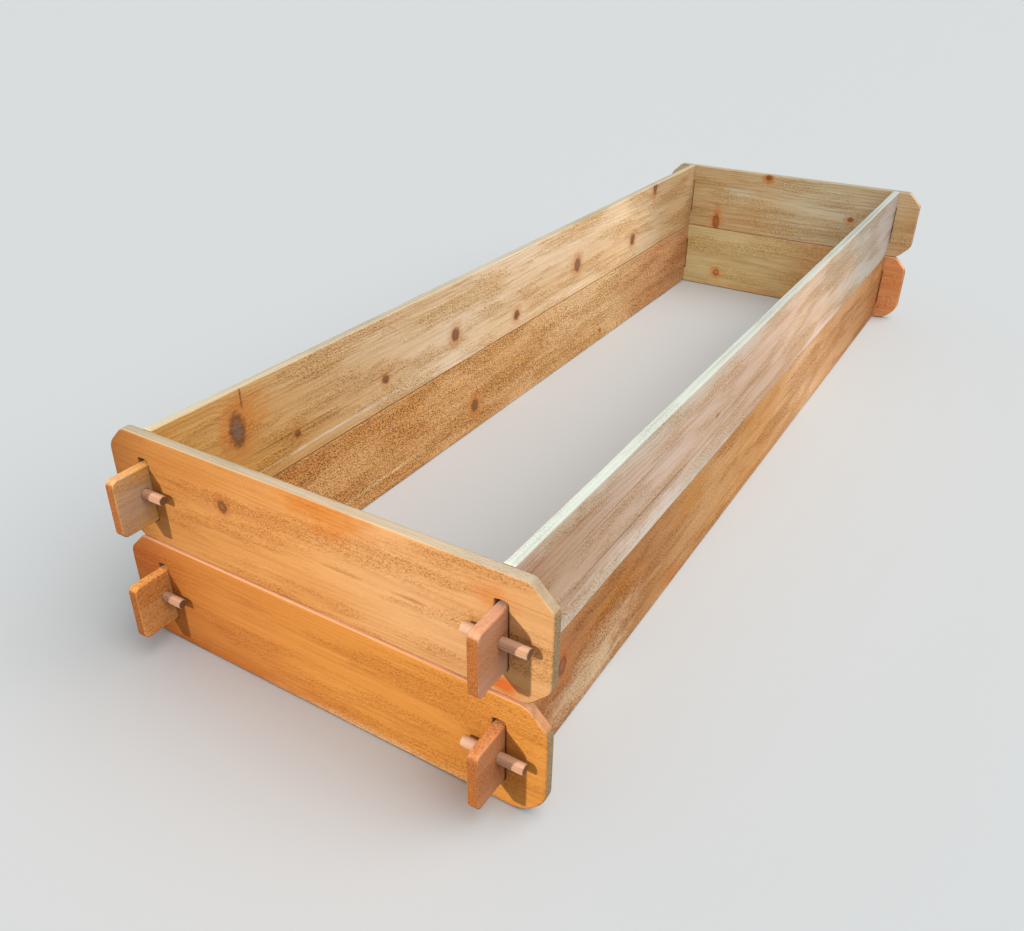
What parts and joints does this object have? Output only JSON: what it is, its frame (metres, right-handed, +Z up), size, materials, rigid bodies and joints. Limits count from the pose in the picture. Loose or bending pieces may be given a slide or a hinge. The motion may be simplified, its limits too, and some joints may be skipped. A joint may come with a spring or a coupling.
{
  "type": "raised garden bed",
  "caption": "Bottomless raised garden bed of stacked tiers of thin cedar boards, tenoned through the end boards and locked by round wooden pegs.",
  "frame": {"origin": "on the ground at the middle of the bed's footprint", "axes": "+X to the right along the end boards, +Y from the front end to the back end along the side boards, +Z up"},
  "size_m": [0.61, 1.8324, 0.3],
  "materials": {
    "lower_end_cedar": "rough-sawn cedar, deep orange",
    "upper_end_cedar": "rough-sawn cedar, light orange",
    "lower_side_cedar": "rough-sawn cedar, orange brown",
    "upper_side_cedar": "rough-sawn cedar, pale tan",
    "peg_wood": "turned dowel, pale pinkish wood"
  },
  "bodies": {
    "lower_tier": {"lower_left_side_board": "lower_side_cedar", "lower_right_side_board": "lower_side_cedar"},
    "upper_tier": {"upper_left_side_board": "upper_side_cedar", "upper_right_side_board": "upper_side_cedar"},
    "lower_front_end_board": {"lower_front_end_board": "lower_end_cedar"},
    "lower_back_end_board": {"lower_back_end_board": "lower_end_cedar"},
    "upper_front_end_board": {"upper_front_end_board": "upper_end_cedar"},
    "upper_back_end_board": {"upper_back_end_board": "upper_end_cedar"},
    "lower_front_left_peg": {"lower_front_left_peg": "peg_wood"},
    "lower_front_right_peg": {"lower_front_right_peg": "peg_wood"},
    "lower_back_left_peg": {"lower_back_left_peg": "peg_wood"},
    "lower_back_right_peg": {"lower_back_right_peg": "peg_wood"},
    "upper_front_left_peg": {"upper_front_left_peg": "peg_wood"},
    "upper_front_right_peg": {"upper_front_right_peg": "peg_wood"},
    "upper_back_left_peg": {"upper_back_left_peg": "peg_wood"},
    "upper_back_right_peg": {"upper_back_right_peg": "peg_wood"}
  },
  "joints": [
    {"name": "upper_tier_lift", "type": "slide", "parent": "lower_tier", "child": "upper_tier", "axis": [0, 0, 1], "range_m": [0, 0.1]},
    {"name": "lower_front_end_board_slide", "type": "slide", "parent": "lower_tier", "child": "lower_front_end_board", "axis": [0, -1, 0], "range_m": [0, 0.0032]},
    {"name": "lower_back_end_board_slide", "type": "slide", "parent": "lower_tier", "child": "lower_back_end_board", "axis": [0, 1, 0], "range_m": [0, 0.0032]},
    {"name": "upper_front_end_board_slide", "type": "slide", "parent": "upper_tier", "child": "upper_front_end_board", "axis": [0, -1, 0], "range_m": [0, 0.0032]},
    {"name": "upper_back_end_board_slide", "type": "slide", "parent": "upper_tier", "child": "upper_back_end_board", "axis": [0, 1, 0], "range_m": [0, 0.0032]},
    {"name": "lower_front_left_peg_slide", "type": "slide", "parent": "lower_tier", "child": "lower_front_left_peg", "axis": [1, 0, 0], "range_m": [-0.047, 0.047]},
    {"name": "lower_front_right_peg_slide", "type": "slide", "parent": "lower_tier", "child": "lower_front_right_peg", "axis": [1, 0, 0], "range_m": [-0.047, 0.047]},
    {"name": "lower_back_left_peg_slide", "type": "slide", "parent": "lower_tier", "child": "lower_back_left_peg", "axis": [1, 0, 0], "range_m": [-0.047, 0.047]},
    {"name": "lower_back_right_peg_slide", "type": "slide", "parent": "lower_tier", "child": "lower_back_right_peg", "axis": [1, 0, 0], "range_m": [-0.047, 0.047]},
    {"name": "upper_front_left_peg_slide", "type": "slide", "parent": "upper_tier", "child": "upper_front_left_peg", "axis": [1, 0, 0], "range_m": [-0.047, 0.047]},
    {"name": "upper_front_right_peg_slide", "type": "slide", "parent": "upper_tier", "child": "upper_front_right_peg", "axis": [1, 0, 0], "range_m": [-0.047, 0.047]},
    {"name": "upper_back_left_peg_slide", "type": "slide", "parent": "upper_tier", "child": "upper_back_left_peg", "axis": [1, 0, 0], "range_m": [-0.047, 0.047]},
    {"name": "upper_back_right_peg_slide", "type": "slide", "parent": "upper_tier", "child": "upper_back_right_peg", "axis": [1, 0, 0], "range_m": [-0.047, 0.047]}
  ]
}
